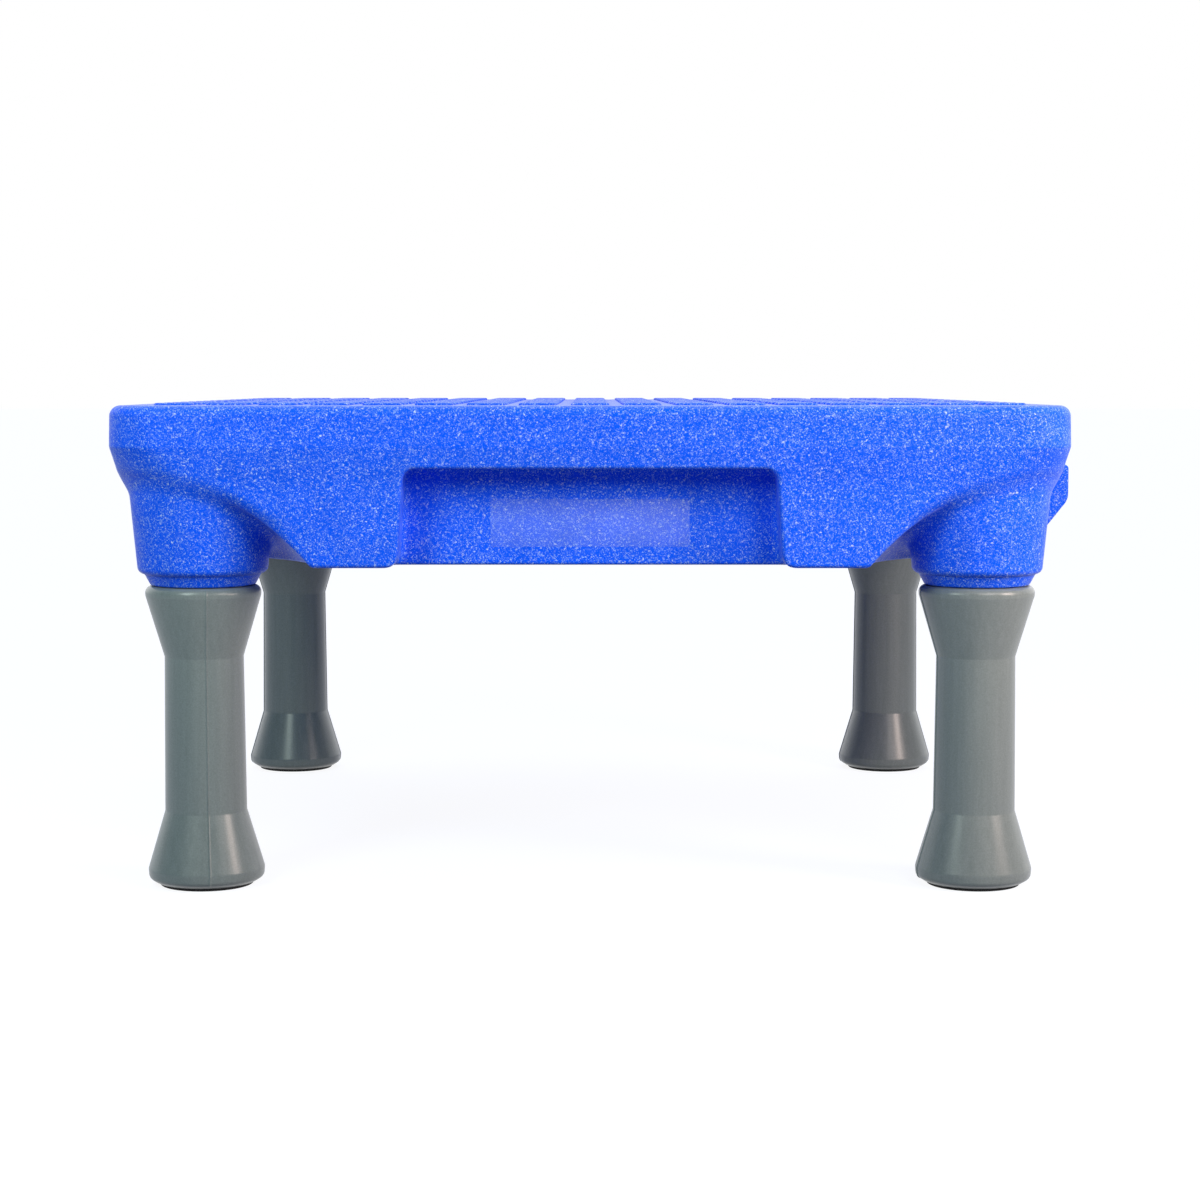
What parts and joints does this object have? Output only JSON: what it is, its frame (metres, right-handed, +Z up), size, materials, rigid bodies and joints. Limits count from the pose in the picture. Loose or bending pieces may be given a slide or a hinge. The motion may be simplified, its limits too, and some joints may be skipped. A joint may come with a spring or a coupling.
{
  "type": "dog training platform",
  "caption": "Low square platform for dog training: a hollow moulded deck with side recess and tab for joining, on screw-in legs with rubber feet.",
  "frame": {"origin": "on the floor, below the middle of the box round the deck and its two tabs, which is 14.85 mm to the right of and behind the deck's own centre", "axes": "+Z up, -Y the front with the label, +X the right side with a mating tab"},
  "size_m": [0.6392, 0.6392, 0.3117],
  "materials": {
    "deck_blue": "speckled, lightly textured",
    "leg_grey": "satin",
    "pad_black": "matt",
    "label_clear": "translucent vinyl",
    "plug_blue": "plain"
  },
  "bodies": {
    "deck": {"deck": "deck_blue", "label_plate": "label_clear", "vent_plug": "plug_blue"},
    "foot_front_left": {"foot_pad_front_left": "pad_black"},
    "leg_front_left": {"leg_front_left": "leg_grey"},
    "foot_front_right": {"foot_pad_front_right": "pad_black"},
    "leg_front_right": {"leg_front_right": "leg_grey"},
    "foot_rear_left": {"foot_pad_rear_left": "pad_black"},
    "leg_rear_left": {"leg_rear_left": "leg_grey"},
    "foot_rear_right": {"foot_pad_rear_right": "pad_black"},
    "leg_rear_right": {"leg_rear_right": "leg_grey"}
  },
  "joints": [
    {"name": "leg_front_left_travel", "type": "slide", "parent": "deck", "child": "foot_front_left", "axis": [0, 0, -1], "range_m": [0, 0.0262]},
    {"name": "leg_front_left_turn", "type": "hinge", "parent": "foot_front_left", "child": "leg_front_left", "pos_m": [-0.26415, -0.26415, 0], "axis": [0, 0, -1], "range_deg": [0, 936]},
    {"name": "leg_front_right_travel", "type": "slide", "parent": "deck", "child": "foot_front_right", "axis": [0, 0, -1], "range_m": [0, 0.0262]},
    {"name": "leg_front_right_turn", "type": "hinge", "parent": "foot_front_right", "child": "leg_front_right", "pos_m": [0.23445, -0.26415, 0], "axis": [0, 0, -1], "range_deg": [0, 936]},
    {"name": "leg_rear_left_travel", "type": "slide", "parent": "deck", "child": "foot_rear_left", "axis": [0, 0, -1], "range_m": [0, 0.0262]},
    {"name": "leg_rear_left_turn", "type": "hinge", "parent": "foot_rear_left", "child": "leg_rear_left", "pos_m": [-0.26415, 0.23445, 0], "axis": [0, 0, -1], "range_deg": [0, 936]},
    {"name": "leg_rear_right_travel", "type": "slide", "parent": "deck", "child": "foot_rear_right", "axis": [0, 0, -1], "range_m": [0, 0.0262]},
    {"name": "leg_rear_right_turn", "type": "hinge", "parent": "foot_rear_right", "child": "leg_rear_right", "pos_m": [0.23445, 0.23445, 0], "axis": [0, 0, -1], "range_deg": [0, 936]}
  ],
  "couplings": [
    {"joint": "leg_front_left_travel", "follows": "leg_front_left_turn", "m_per_rad": 0.0015915},
    {"joint": "leg_front_right_travel", "follows": "leg_front_right_turn", "m_per_rad": 0.0015915},
    {"joint": "leg_rear_left_travel", "follows": "leg_rear_left_turn", "m_per_rad": 0.0015915},
    {"joint": "leg_rear_right_travel", "follows": "leg_rear_right_turn", "m_per_rad": 0.0015915}
  ]
}
